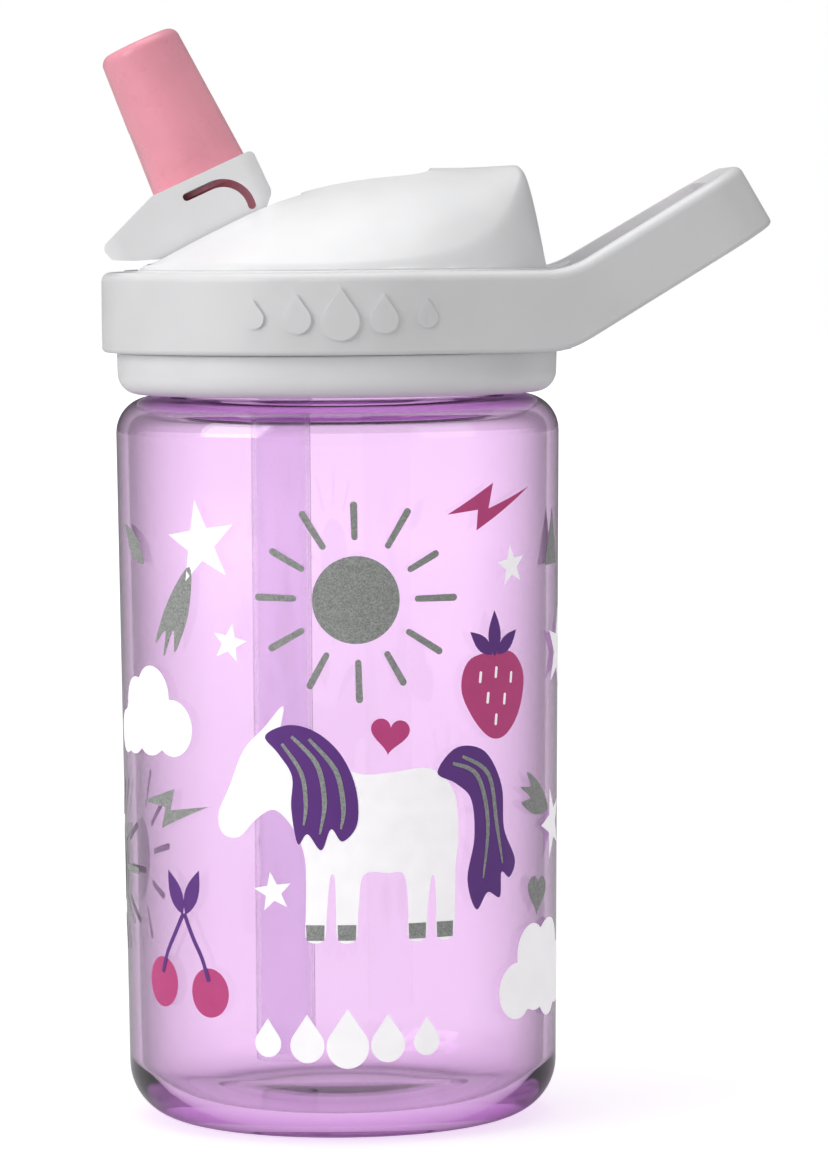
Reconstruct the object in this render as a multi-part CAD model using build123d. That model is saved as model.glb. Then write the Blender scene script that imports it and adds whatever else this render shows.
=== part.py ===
from build123d import *

import os
from math import acos, atan2, cos, hypot, radians, sin, sqrt, tan

# A child's 0.4 litre flip-spout drinking bottle, in millimetres.
# The origin is the middle of the plane that the bottle stands on. +Z is up, +X points to
# the carry loop and -X to the drinking spout, which is drawn open.

# ---- Bottle ----
BODY_R_TOP = 36.5
BODY_R_BASE = 35.2
BASE_CORNER_R = 9.0
SHOULDER_Z = 119.0
SHOULDER_CORNER_R = 6.0
WALL = 1.9
FLOOR = 3.2
FOOT_INNER_R = 21.0
FOOT_RECESS = 1.4
NECK_R = 27.5
NECK_BORE_R = 25.4
NECK_TOP_Z = 134.2

# ---- Thread between neck and cap ----
PITCH = 4.0
THREAD_TURNS = 1.5
THREAD_Z = 122.4
THREAD_DEPTH = 1.5
THREAD_ROOT_WIDTH = 2.3
THREAD_CREST_WIDTH = 1.0
THREAD_CLEARANCE = 0.45
THREAD_BITE = 0.3

# ---- Cap ----
SKIRT_BOTTOM_Z = 119.4
SKIRT_R = 36.2
SKIRT_ROUND_R = 3.4
LEDGE_Z = 126.2
CAP_SEAT_R = 35.0
CAP_BORE_R = NECK_R + THREAD_DEPTH + THREAD_CLEARANCE
PLATE_BOTTOM_Z = 136.4
PLATE_TOP_Z = 139.7
PLUG_RIB_R = 24.6
PLUG_RIB_WALL = 1.8
PLUG_RIB_DROP = 5.0
GASKET_R = (24.85, 29.2)
GASKET_GAP = 0.05

# ---- Ring with its carry loop ----
RING_R = 38.6
RING_BORE_R = 35.05
RING_Z = (126.3, 139.4)
LOOP_BEND_X = 36.5
LOOP_BEND_R = 14.0
LOOP_RISE = radians(30.6)
LOOP_END_X = 70.9
LOOP_END_HALF_WIDTH = 20.0
LOOP_CORNER_R = 12.5
LOOP_BAND = 4.6
LOOP_END_BAR = 6.0
TOP_EDGE_R = 1.5
BOTTOM_EDGE_R = 0.8

# ---- Raised drops on the front of the ring ----
DROP_HEIGHTS = (4.6, 6.2, 8.4, 6.2, 4.6)
DROP_STEP = 6.9
DROP_PROUD = 0.5

# ---- Domed cover ----
DOME_R = 34.6
DOME_WALL = 1.9
DOME_CROWN_POWER = 2.4
DOME_PLAN_SQUEEZE = 0.93
DOME_RIDGE = (
    (-38.0, 137.2),
    (-30.4, 141.1),
    (-21.4, 146.1),
    (-10.3, 151.4),
    (0.0, 154.3),
    (15.0, 156.1),
    (20.5, 155.9),
    (30.0, 156.5),
    (40.0, 156.9),
)
DOME_BACK = ((31.2, 156.7), (35.5, 139.7))
DOME_BACK_EDGE_R = 2.5

# ---- Spout, in its own frame: the pivot is the origin and +Z runs up the bite valve ----
PIVOT_X = -18.4
PIVOT_Z = 149.0
SPOUT_LEAN = 24.5
HOUSING_HALF = 11.6
EAR_INNER = 8.6
COLLAR_TOP = 7.3
ROOF_BOTTOM = 5.3
PIN_R = 2.4
PIN_TIP = 6.4
SLOT_R = 4.8
SLOT_WIDTH = 1.3
SLOT_RUN = 4.3
SLOT_END = radians(-10.0)
BARREL_R = 5.0
BARREL_HALF = 5.05
FLOW_TUBE_R = 4.2
FLOW_BORE_R = 2.6
FLOW_TUBE_TOP = 12.5
FLOW_PORT_R = 1.7
VALVE_TIP = 31.2
VALVE_OFFSET = -1.1
VALVE_BASE = (16.4, 19.0)
VALVE_END = (13.4, 16.0)
VALVE_NECK = (13.2, 15.4)
VALVE_WALL = 2.3
VALVE_FIT = 0.05
VALVE_SLIT = (0.3, 6.0)
BOOT_R = 6.5
BOOT_HALF = 5.9
BOOT_FROM = radians(46.0)
BOOT_TO = radians(176.0)

# ---- What the spout turns in ----
PIN_CLEARANCE = 0.05
POST_Y = (6.2, 8.3)
POST_HEAD_R = 4.05
CHANNEL_HALF_FRONT = 12.2
CHANNEL_HALF_BACK = 10.4
CHANNEL_STEP_X = -5.5
CHANNEL_END_X = 15.6
CHANNEL_WALL = 1.6
SEAL_THICKNESS = 1.9
SEAL_HALF = 4.8
SEAL_RUN = 0.05
SEAL_FROM = radians(210.0)
SEAL_TO = radians(300.0)
CRADLE_X = (-25.0, -14.6)
CRADLE_TOP_Z = 144.6

# ---- Straw, its socket and the air vent ----
STRAW_X = -9.4
STRAW_R = 4.9
STRAW_WALL = 0.8
STRAW_Z = (9.0, 131.4)
STRAW_FIT = 0.02
SOCKET_R = 6.4
SOCKET_BOTTOM_Z = 124.5
DUCT_Z = 134.0
DUCT_R = 2.0
DUCT_WALL = 2.2
VENT_X = 12.0
VENT_STEM_R = 1.5
VENT_DISC_R = 4.2


def rounded_face(corners):
    """A flat outline from (x, y, radius) corners, each rounded when its radius is not 0."""
    face = make_face(Polyline(*[(x, y) for x, y, _ in corners], close=True))
    for x, y, radius in corners:
        if radius:
            corner = face.vertices().sort_by_distance((x, y, 0))[0]
            face = fillet(corner, radius)
    return face


def turned(corners):
    """Turn an outline of (radius, height, rounding) corners about the Z axis."""
    return revolve(Plane.XZ * rounded_face(corners), Axis.Z)


def slab(corners, y0, y1):
    """An outline of (x, z, rounding) corners made solid from y0 to y1."""
    return Pos(0, y0, 0) * extrude(Plane.XZ * rounded_face(corners), y0 - y1)


def sharp(points):
    """The same points as corners that are not rounded."""
    return [(x, z, 0) for x, z in points]


def block(x0, x1, half_y, z0, z1):
    """A box centred on the XZ plane."""
    return Pos((x0 + x1) / 2, 0, (z0 + z1) / 2) * Box(x1 - x0, 2 * half_y, z1 - z0)


def post_z(radius, z0, z1, x=0.0):
    """An upright rod whose middle is at x."""
    return Pos(x, 0, (z0 + z1) / 2) * Cylinder(radius, z1 - z0)


def rod_y(radius, y0, y1, x=0.0, z=0.0):
    """A rod along Y."""
    return Pos(x, (y0 + y1) / 2, z) * Rot(90, 0, 0) * Cylinder(radius, abs(y1 - y0))


def pair(solid):
    """A solid and its mirror image across the XZ plane."""
    return solid + mirror(solid, about=Plane.XZ)


def ring_solid(inner_r, outer_r, z0, z1):
    """A plain ring about the bottle's axis."""
    return post_z(outer_r, z0, z1) - post_z(inner_r, z0 - 1, z1 + 1)


def polar(radius, angle):
    """The (x, z) point at a radius and angle from the local origin."""
    return radius * cos(angle), radius * sin(angle)


def in_place(solid):
    """Carry a solid from the spout's own frame to its leaning place on the cap."""
    return Pos(PIVOT_X, 0, PIVOT_Z) * Rot(0, -SPOUT_LEAN, 0) * solid


def oval_rod(size, z0, z1, x=0.0):
    """A straight rod of oval section along Z."""
    return Pos(x, 0, z0) * extrude(Ellipse(size[0] / 2, size[1] / 2), z1 - z0)


def oval_taper(size0, z0, size1, z1, x=0.0):
    """A tapered body between two ovals."""
    ovals = [
        Pos(x, 0, z) * Ellipse(size[0] / 2, size[1] / 2)
        for size, z in ((size0, z0), (size1, z1))
    ]
    return loft(ovals)


def helical_ridge(root_r, crest_r, z_start):
    """A right-handed trapezoidal thread ridge, sunk a little into the wall it stands on."""
    base_r = root_r + (THREAD_BITE if crest_r < root_r else -THREAD_BITE)
    half_root = THREAD_ROOT_WIDTH / 2
    half_crest = THREAD_CREST_WIDTH / 2
    corners = [
        (base_r, z_start - half_root),
        (crest_r, z_start - half_crest),
        (crest_r, z_start + half_crest),
        (base_r, z_start + half_root),
    ]
    profile = Plane.XZ * make_face(Polyline(*corners, close=True))
    path = Pos(0, 0, z_start) * Helix(PITCH, PITCH * THREAD_TURNS, base_r)
    return sweep(profile, path=path, is_frenet=True)


def make_bottle_body():
    """The clear bottle: tapered wall, raised middle of the foot, shoulder and threaded neck."""
    inner_r_base = BODY_R_BASE - WALL
    inner_r_top = BODY_R_TOP - WALL
    shell = turned(
        [
            (0, FOOT_RECESS, 0),
            (FOOT_INNER_R - 3, FOOT_RECESS, 2),
            (FOOT_INNER_R, 0, 1),
            (BODY_R_BASE, 0, BASE_CORNER_R),
            (BODY_R_TOP, SHOULDER_Z, SHOULDER_CORNER_R),
            (NECK_R, SHOULDER_Z, 0.5),
            (NECK_R, NECK_TOP_Z, 0.5),
            (NECK_BORE_R, NECK_TOP_Z, 0.5),
            (NECK_BORE_R, SHOULDER_Z - WALL, 1.5),
            (inner_r_top, SHOULDER_Z - WALL, SHOULDER_CORNER_R - WALL),
            (inner_r_base, FLOOR, BASE_CORNER_R - WALL),
            (FOOT_INNER_R, FLOOR, 6),
            (0, FLOOR + FOOT_RECESS, 0),
        ]
    )
    return shell + helical_ridge(NECK_R, NECK_R + THREAD_DEPTH, THREAD_Z)


def make_cap_gasket():
    """The flat silicone washer that the cap presses on the neck's rim."""
    inner_r, outer_r = GASKET_R
    low = NECK_TOP_Z + GASKET_GAP
    high = PLATE_BOTTOM_Z - GASKET_GAP
    return turned(
        [
            (inner_r, low, 0.4),
            (outer_r, low, 0.4),
            (outer_r, high, 0.4),
            (inner_r, high, 0.4),
        ]
    )


def make_straw_socket():
    """The boss under the cap that takes the straw and leads on to below the pivot."""
    duct_half = DUCT_R + DUCT_WALL
    duct_low = DUCT_Z - duct_half + 0.6
    boss = post_z(SOCKET_R, SOCKET_BOTTOM_Z, PLATE_BOTTOM_Z + 0.2, STRAW_X)
    boss += block(PIVOT_X, STRAW_X, duct_half, duct_low, PLATE_BOTTOM_Z + 0.2)
    boss += post_z(duct_half, duct_low, PLATE_BOTTOM_Z + 0.2, PIVOT_X)
    return boss


def cut_waterway(cap):
    """Bore the straw socket, the cross duct and the port that rises to the barrel."""
    straw_top = STRAW_Z[1]
    cap -= post_z(STRAW_R + STRAW_FIT, SOCKET_BOTTOM_Z - 1, straw_top + 0.05, STRAW_X)
    cap -= post_z(STRAW_R - STRAW_WALL, straw_top - 1, DUCT_Z + DUCT_R, STRAW_X)
    duct = Pos((PIVOT_X + STRAW_X) / 2, 0, DUCT_Z) * Rot(0, 90, 0)
    cap -= duct * Cylinder(DUCT_R, STRAW_X - PIVOT_X)
    cap -= post_z(FLOW_PORT_R + 0.2, DUCT_Z - DUCT_R, PIVOT_Z - BARREL_R, PIVOT_X)
    return cap


def make_pivot_posts():
    """Two posts whose eyes hold the housing's inward pins."""
    y0, y1 = POST_Y
    leg = Pos(0, (y0 + y1) / 2, 0) * block(
        PIVOT_X - POST_HEAD_R, PIVOT_X + POST_HEAD_R, (y1 - y0) / 2, PLATE_TOP_Z - 0.2, PIVOT_Z
    )
    post = leg + rod_y(POST_HEAD_R, y0, y1, PIVOT_X, PIVOT_Z)
    post -= rod_y(PIN_R + PIN_CLEARANCE, y0 - 1, y1 + 1, PIVOT_X, PIVOT_Z)
    return pair(post)


def make_cap_base():
    """The screw cap: skirt, inner thread, top plate, pivot posts, seal cradle and socket."""
    cap = turned(
        [
            (CAP_BORE_R, SKIRT_BOTTOM_Z, 0.4),
            (SKIRT_R - 0.2, SKIRT_BOTTOM_Z, SKIRT_ROUND_R),
            (SKIRT_R, LEDGE_Z, 0.4),
            (CAP_SEAT_R, LEDGE_Z, 0),
            (CAP_SEAT_R, PLATE_TOP_Z, 0.4),
            (0, PLATE_TOP_Z, 0),
            (0, PLATE_BOTTOM_Z, 0),
            (CAP_BORE_R, PLATE_BOTTOM_Z, 0),
        ]
    )
    rib_bottom = PLATE_BOTTOM_Z - PLUG_RIB_DROP
    cap += ring_solid(PLUG_RIB_R - PLUG_RIB_WALL, PLUG_RIB_R, rib_bottom, PLATE_BOTTOM_Z + 0.2)
    cap += helical_ridge(CAP_BORE_R, CAP_BORE_R - THREAD_DEPTH, THREAD_Z + PITCH / 2)
    cap += make_straw_socket()
    cradle = block(*CRADLE_X, SEAL_HALF, PLATE_TOP_Z - 0.2, CRADLE_TOP_Z)
    seat_r = BARREL_R + SEAL_RUN + SEAL_THICKNESS + STRAW_FIT
    cap += cradle - rod_y(seat_r, -SEAL_HALF - 1, SEAL_HALF + 1, PIVOT_X, PIVOT_Z)
    cap += make_pivot_posts()
    cap = cut_waterway(cap)
    return cap - post_z(VENT_STEM_R + 0.05, PLATE_BOTTOM_Z - 1, PLATE_TOP_Z + 1, VENT_X)


def make_vent_valve():
    """The silicone umbrella that lets air in under the plate, held by its bulb on top."""
    valve = post_z(VENT_DISC_R, PLATE_BOTTOM_Z - 0.85, PLATE_BOTTOM_Z - 0.05, VENT_X)
    valve += post_z(VENT_STEM_R, PLATE_BOTTOM_Z - 0.2, PLATE_TOP_Z + 0.8, VENT_X)
    bulb_z = PLATE_TOP_Z + 0.05
    bulb = Pos(VENT_X, 0, bulb_z + 0.6) * Cone(VENT_STEM_R + 0.6, VENT_STEM_R - 0.4, 1.2)
    return valve + bulb


def make_straw():
    """The straight straw, pushed into the cap's socket."""
    low, high = STRAW_Z
    return post_z(STRAW_R, low, high, STRAW_X) - post_z(
        STRAW_R - STRAW_WALL, low - 1, high + 1, STRAW_X
    )


def loop_tangent():
    """The angle at which the loop's straight side leaves the ring."""
    reach = hypot(LOOP_END_X, LOOP_END_HALF_WIDTH)
    return atan2(LOOP_END_HALF_WIDTH, LOOP_END_X) + acos(RING_R / reach)


def loop_plan(ring_r):
    """The loop's outline from above, with its sides on tangents of a circle of ring_r."""
    angle = loop_tangent()
    start = (ring_r * cos(angle), ring_r * sin(angle))
    run = LOOP_END_X + 15 - start[0]
    far = (start[0] + run, start[1] - run / tan(angle))
    points = [start, far, (far[0], -far[1]), (start[0], -start[1])]
    return Pos(0, 0, RING_Z[0] - 20) * extrude(make_face(Polyline(*points, close=True)), 80)


def along_loop(run, rise):
    """A point (x, z) at a run along the loop's underside and a rise square to it."""
    x = LOOP_END_X + run * cos(LOOP_RISE) - rise * sin(LOOP_RISE)
    z_end = RING_Z[0] + (LOOP_END_X - LOOP_BEND_X) * tan(LOOP_RISE)
    return x, z_end + run * sin(LOOP_RISE) + rise * cos(LOOP_RISE)


def make_loop_body():
    """The loop before its opening is cut: a flat band that bends up behind the cap."""
    low, high = RING_Z
    band = (high - low) * cos(LOOP_RISE)
    side = [
        (0, low, 0),
        (LOOP_BEND_X, low, LOOP_BEND_R),
        (*along_loop(0, 0), 0),
        (*along_loop(0, band), 0),
        (LOOP_BEND_X, high, LOOP_BEND_R),
        (0, high, 0),
    ]
    body = slab(side, -RING_R, RING_R) & loop_plan(RING_R)
    return fillet(end_corners(body, LOOP_END_X - 12), LOOP_CORNER_R)


def end_corners(body, beyond_x):
    """The two steep corner edges at the far end of a loop-shaped body."""

    def is_corner(edge):
        step = (edge @ 1) - (edge @ 0)
        steep = abs(step.Z) > max(1.3 * abs(step.X), 2 * abs(step.Y))
        return steep and (edge @ 0.5).X > beyond_x

    return body.edges().filter_by(is_corner)


def make_loop_opening():
    """The finger opening between the ring and the loop's end bar."""
    side = sharp(
        [
            (20, RING_Z[0] - 15),
            along_loop(-LOOP_END_BAR, -30),
            along_loop(-LOOP_END_BAR, 30),
            (20, RING_Z[0] + 60),
        ]
    )
    opening = slab(side, -RING_R, RING_R) & loop_plan(RING_R - LOOP_BAND)
    opening = fillet(end_corners(opening, 40), LOOP_CORNER_R - LOOP_BAND)
    return opening - post_z(RING_R, RING_Z[0] - 20, RING_Z[1] + 80)


def make_drop(height, x, z):
    """One raised drop standing proud of the ring's front."""
    bulb_r = 0.36 * height
    shape = Circle(bulb_r)
    tip = (0, height - bulb_r)
    half_angle = acos(bulb_r / tip[1])
    side = (bulb_r * sin(half_angle), bulb_r * cos(half_angle))
    shape += make_face(Polyline((0, 0), side, tip, (-side[0], side[1]), close=True))
    low = z - height / 2 + bulb_r
    prism = Pos(x, -RING_R + 4, low) * extrude(Plane.XZ * shape, 12)
    return prism & ring_solid(RING_R - 0.4, RING_R + DROP_PROUD, *RING_Z)


def outline_edges(body, upper):
    """The ring's and loop's outer edges, all round the top or all round the bottom."""
    middle = (RING_Z[0] + RING_Z[1]) / 2

    def wanted(edge):
        step = (edge @ 1) - (edge @ 0)
        point = edge @ 0.5
        steep = abs(step.Z) > max(1.3 * abs(step.X), 2 * abs(step.Y))
        straight_across = edge.geom_type == GeomType.LINE and abs(step.X) < 0.01
        bend_line = straight_across and point.X < LOOP_END_X - 10
        inside_loop = point.X > NECK_R and hypot(point.X, point.Y) < RING_R + 0.1
        band_middle = middle + max(0, point.X - LOOP_BEND_X) * tan(LOOP_RISE)
        return not (steep or bend_line or inside_loop) and (point.Z > band_middle) == upper

    return body.edges().filter_by(wanted)


def make_handle_ring():
    """The ring around the cap with its bent-up carry loop and a row of raised drops."""
    low, high = RING_Z
    body = post_z(RING_R, low, high) + make_loop_body()
    body = fillet(outline_edges(body, upper=True), TOP_EDGE_R)
    body = fillet(outline_edges(body, upper=False), BOTTOM_EDGE_R)
    body -= make_loop_opening()
    body -= post_z(RING_BORE_R, low - 5, high + 60)
    middle = (low + high) / 2
    first = -DROP_STEP * (len(DROP_HEIGHTS) - 1) / 2
    for number, height in enumerate(DROP_HEIGHTS):
        body += make_drop(height, first + number * DROP_STEP, middle)
    return body


def dome_skin(drop):
    """The solid under the dome's crowned surface, lowered by drop."""
    ridge = Spline(*[(x, 0, z) for x, z in DOME_RIDGE])
    rows = []
    for row in range(25):
        crest = ridge @ (row / 24)
        half = sqrt(DOME_R**2 - (DOME_PLAN_SQUEEZE * min(abs(crest.X), DOME_R)) ** 2)
        rise = crest.Z - PLATE_TOP_Z
        line = []
        for column in range(-12, 13):
            y = column / 12 * (DOME_R + 2)
            z = crest.Z - rise * (abs(y) / half) ** DOME_CROWN_POWER - drop
            line.append(Vector(crest.X, y, z))
        rows.append(line)
    skin = Face.make_surface_from_array_of_points(rows)
    return extrude(skin, 60, dir=(0, 0, -1))


def dome_block(inset):
    """The dome as one closed block, with every wall moved in by inset."""
    (top_x, top_z), (low_x, low_z) = DOME_BACK
    back = sharp(
        [
            (-DOME_R, low_z - 30),
            (low_x - inset + (low_x - top_x) / (top_z - low_z) * 30, low_z - 30),
            (low_x - inset, low_z),
            (top_x - inset, top_z),
            (top_x - inset - 2, top_z + 8),
            (-DOME_R, top_z + 8),
        ]
    )
    body = dome_skin(inset) & slab(back, -DOME_R, DOME_R)
    return body & post_z(DOME_R - inset, PLATE_TOP_Z + 0.02, PLATE_TOP_Z + 40)


def channel_block(grow, low):
    """The recess that the folded spout lies in, grown by a wall thickness."""
    top = PLATE_TOP_Z + 40
    front = block(-DOME_R - 2, CHANNEL_STEP_X + grow, CHANNEL_HALF_FRONT + grow, low, top)
    back = block(CHANNEL_STEP_X, CHANNEL_END_X + grow, CHANNEL_HALF_BACK + grow, low, top)
    ends = back.edges().filter_by(Axis.Z).group_by(Axis.X)[-1]
    return front + fillet(ends, CHANNEL_HALF_BACK / 2 + grow)


def make_dome_cover():
    """The hollow domed cover with the channel for the folded spout."""
    low = PLATE_TOP_Z - 5
    outer = dome_block(0)
    top_x = DOME_BACK[0][0]
    back_edges = outer.edges().filter_by(
        lambda edge: (edge @ 0.5).X > top_x - 3 and (edge @ 0.5).Z > PLATE_TOP_Z + 1
    )
    outer = fillet(back_edges, DOME_BACK_EDGE_R)
    hollow = dome_block(DOME_WALL) - channel_block(CHANNEL_WALL, low)
    hollow &= block(-60, 60, 60, PLATE_TOP_Z - 1, PLATE_TOP_Z + 40)
    return outer - hollow - channel_block(0, low)


def make_spout_housing():
    """The white flip housing: collar, two ears with spring slots and the thumb tab."""
    outline = [
        (-9.4, COLLAR_TOP, 1.5),
        (8.6, COLLAR_TOP, 1.0),
        (8.6, -0.3, 2.0),
        (3.2, -5.6, 3.0),
        (-4.5, -5.6, 3.0),
        (-16.5, -0.95, 3.0),
        (-19.6, 0.6, 0.8),
        (-20.4, 3.1, 1.2),
    ]
    body = slab(outline, -HOUSING_HALF, HOUSING_HALF)
    plan = Pos(-5.7, 0, 0) * RectangleRounded(30, 2 * HOUSING_HALF, 3.5)
    body &= Pos(0, 0, -10) * extrude(plan, 20)
    inside = sharp([(-8.8, ROOF_BOTTOM), (10, ROOF_BOTTOM), (10, -9), (-14.5, -9), (-14.5, 3.1)])
    body -= slab(inside, -EAR_INNER, EAR_INNER)
    body -= oval_rod([s + 0.2 for s in VALVE_NECK], 0, COLLAR_TOP + 1, VALVE_OFFSET)
    body -= pair(make_spring_slot())
    return body + pair(rod_y(PIN_R, PIN_TIP, EAR_INNER + 0.2))


def make_spring_slot():
    """The hook-shaped slot that frees each ear's middle, so that it can snap into place."""
    inner = SLOT_R - SLOT_WIDTH / 2
    outer = SLOT_R + SLOT_WIDTH / 2
    reach = 2 * SLOT_R
    arc = Circle(outer) - Circle(inner)
    arc &= make_face(Polyline((0, 0), (0, reach), (reach, reach), polar(reach, SLOT_END), close=True))
    straight = Pos(-SLOT_RUN / 2, SLOT_R) * Rectangle(SLOT_RUN, SLOT_WIDTH)
    ends = [(-SLOT_RUN, SLOT_R), polar(SLOT_R, SLOT_END)]
    shape = arc + straight + [Pos(x, z) * Circle(SLOT_WIDTH / 2) for x, z in ends]
    return Pos(0, EAR_INNER - 0.5, 0) * extrude(Plane.XZ * shape, -4)


def make_spout_stem():
    """The rigid stem: a cross barrel that opens and shuts the flow, and its drinking tube."""
    stem = rod_y(BARREL_R, -BARREL_HALF, BARREL_HALF) + post_z(FLOW_TUBE_R, 0, FLOW_TUBE_TOP)
    stem += Pos(0, 0, 10.5) * Cone(FLOW_TUBE_R + 0.4, FLOW_TUBE_R, 1.6)
    stem -= post_z(FLOW_BORE_R, -0.5, FLOW_TUBE_TOP + 1)
    return stem - Rot(0, SPOUT_LEAN, 0) * post_z(FLOW_PORT_R, -BARREL_R - 1, 0)


def make_bite_valve():
    """The soft bite valve: tapered oval head, captive neck and the boot round the barrel."""
    head = oval_taper(VALVE_BASE, COLLAR_TOP + VALVE_FIT, VALVE_END, VALVE_TIP, VALVE_OFFSET)
    head = fillet(head.edges().group_by(Axis.Z)[-1], 1.8)
    valve = head + oval_rod(VALVE_NECK, ROOF_BOTTOM - 0.6, COLLAR_TOP + 0.5, VALVE_OFFSET)
    flange = [s + 1.2 for s in VALVE_NECK]
    valve += oval_rod(flange, 4.45, ROOF_BOTTOM - VALVE_FIT, VALVE_OFFSET)
    boot = rod_y(BOOT_R, -BOOT_HALF, BOOT_HALF)
    boot += block(-5.4, 5.4, BOOT_HALF, 0, ROOF_BOTTOM - VALVE_FIT)
    boot -= block(-9, 9, 9, ROOF_BOTTOM - VALVE_FIT, 9)
    below = [(0, 0), polar(14, BOOT_TO), (-14, -14), (14, -14), polar(18, BOOT_FROM)]
    boot -= slab(sharp(below), -BARREL_HALF, BARREL_HALF)
    valve += boot
    valve -= rod_y(BARREL_R + VALVE_FIT, -BARREL_HALF - VALVE_FIT, BARREL_HALF + VALVE_FIT)
    valve -= post_z(FLOW_TUBE_R + VALVE_FIT, 0, 9.5)
    wide = [s - 2 * VALVE_WALL for s in VALVE_BASE]
    narrow = [s - 2 * VALVE_WALL for s in VALVE_END]
    valve -= oval_taper(wide, 9.2, narrow, VALVE_TIP - VALVE_WALL, VALVE_OFFSET)
    slit = Pos(VALVE_OFFSET, 0, VALVE_TIP) * Box(*VALVE_SLIT, 3 * VALVE_WALL)
    return valve - slit


def make_barrel_seal():
    """The silicone saddle under the barrel, with the port that the water rises through."""
    inner = BARREL_R + SEAL_RUN
    outer = inner + SEAL_THICKNESS
    seal = rod_y(outer, -SEAL_HALF, SEAL_HALF) - rod_y(inner, -SEAL_HALF - 1, SEAL_HALF + 1)
    wedge = [(0, 0), polar(14, SEAL_FROM), (0, -16), polar(14, SEAL_TO)]
    seal &= slab(sharp(wedge), -SEAL_HALF, SEAL_HALF)
    seal -= post_z(FLOW_PORT_R + 0.1, -BARREL_R - 4, 0)
    return Pos(PIVOT_X, 0, PIVOT_Z) * seal


PARTS = {
    "bottle_body": make_bottle_body,
    "cap_gasket": make_cap_gasket,
    "cap_base": make_cap_base,
    "vent_valve": make_vent_valve,
    "straw": make_straw,
    "barrel_seal": make_barrel_seal,
    "handle_ring": make_handle_ring,
    "dome_cover": make_dome_cover,
    "spout_housing": lambda: in_place(make_spout_housing()),
    "spout_stem": lambda: in_place(make_spout_stem()),
    "bite_valve": lambda: in_place(make_bite_valve()),
}

os.makedirs("parts", exist_ok=True)
for name, make in PARTS.items():
    export_step(make(), f"parts/{name}.step")
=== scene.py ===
from math import atan2, cos, hypot, pi, radians, sin, sqrt, tan

import bmesh
import bpy
from bpy.props import FloatProperty, FloatVectorProperty, IntProperty, PointerProperty
from mathutils import Matrix, Vector


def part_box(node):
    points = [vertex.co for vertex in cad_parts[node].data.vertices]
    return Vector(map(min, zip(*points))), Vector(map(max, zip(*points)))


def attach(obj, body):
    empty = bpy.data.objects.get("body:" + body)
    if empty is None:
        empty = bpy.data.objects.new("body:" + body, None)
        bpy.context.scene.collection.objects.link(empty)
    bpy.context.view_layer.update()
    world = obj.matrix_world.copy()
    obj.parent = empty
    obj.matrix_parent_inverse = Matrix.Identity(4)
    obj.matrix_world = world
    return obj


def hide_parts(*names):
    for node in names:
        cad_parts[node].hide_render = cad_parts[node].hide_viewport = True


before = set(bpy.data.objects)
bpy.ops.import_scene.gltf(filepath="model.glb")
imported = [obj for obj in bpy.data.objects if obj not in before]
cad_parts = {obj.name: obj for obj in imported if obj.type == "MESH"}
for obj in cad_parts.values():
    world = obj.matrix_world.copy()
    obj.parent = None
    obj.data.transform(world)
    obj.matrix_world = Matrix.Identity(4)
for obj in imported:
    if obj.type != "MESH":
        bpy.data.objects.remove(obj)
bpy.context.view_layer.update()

bl_info = {
    "name": "Kids water bottle",
    "version": (1, 0, 0),
    "blender": (4, 5, 0),
    "location": "3D View > Sidebar > Bottle",
    "description": "Builds the looks of a child's flip-spout water bottle on its packed frame",
    "category": "Object",
}

MM = 0.001
LAMP_TINT = (0.93, 0.80, 0.95, 1)  # what lamps and soft light keep on their way through the bottle
BODY_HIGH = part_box("bottle_body")[1]
DOME_LOW, DOME_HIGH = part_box("dome_cover")


# ---------------------------------------------------------------- sizes and colours


class BottleSizes(bpy.types.PropertyGroup):
    """The blown bottle's sizes."""

    top_radius: FloatProperty(
        name="Top radius", description="Body radius just under the shoulder",
        default=0.0365, unit="LENGTH",
    )
    base_radius: FloatProperty(
        name="Base radius", description="Body radius at the foot", default=0.0352, unit="LENGTH",
    )
    base_rounding: FloatProperty(
        name="Base rounding", description="Radius of the corner at the foot",
        default=0.009, unit="LENGTH",
    )
    shoulder_height: FloatProperty(
        name="Shoulder height", description="Height of the flat shoulder", default=0.119,
        unit="LENGTH",
    )
    shoulder_rounding: FloatProperty(
        name="Shoulder rounding", description="Radius of the shoulder corner", default=0.006,
        unit="LENGTH",
    )
    wall: FloatProperty(
        name="Wall", description="Wall thickness", default=0.0019, unit="LENGTH",
    )
    floor: FloatProperty(
        name="Floor", description="Floor thickness at the foot", default=0.0032, unit="LENGTH",
    )
    neck_radius: FloatProperty(
        name="Neck radius", description="Outside of the neck", default=0.0275, unit="LENGTH",
    )
    neck_bore: FloatProperty(
        name="Neck bore", description="Inside radius of the neck", default=0.0254,
        unit="LENGTH",
    )
    foot_radius: FloatProperty(
        name="Foot radius", description="Inner radius of the ring that it stands on",
        default=0.021, unit="LENGTH",
    )
    foot_recess: FloatProperty(
        name="Foot recess", description="How far the middle of the foot is raised",
        default=0.0014, unit="LENGTH",
    )
    thread_pitch: FloatProperty(
        name="Thread pitch", description="Rise of the thread in one turn", default=0.004,
        unit="LENGTH",
    )
    thread_turns: FloatProperty(
        name="Thread turns", description="Length of the thread in turns", default=1.5,
    )
    thread_start: FloatProperty(
        name="Thread start", description="Height of the thread's lower end", default=0.1224,
        unit="LENGTH",
    )
    thread_depth: FloatProperty(
        name="Thread depth", description="How far the thread stands out", default=0.0015,
        unit="LENGTH",
    )
    segments: IntProperty(
        name="Segments", description="Facets round the bottle", default=192, min=24,
    )


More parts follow.
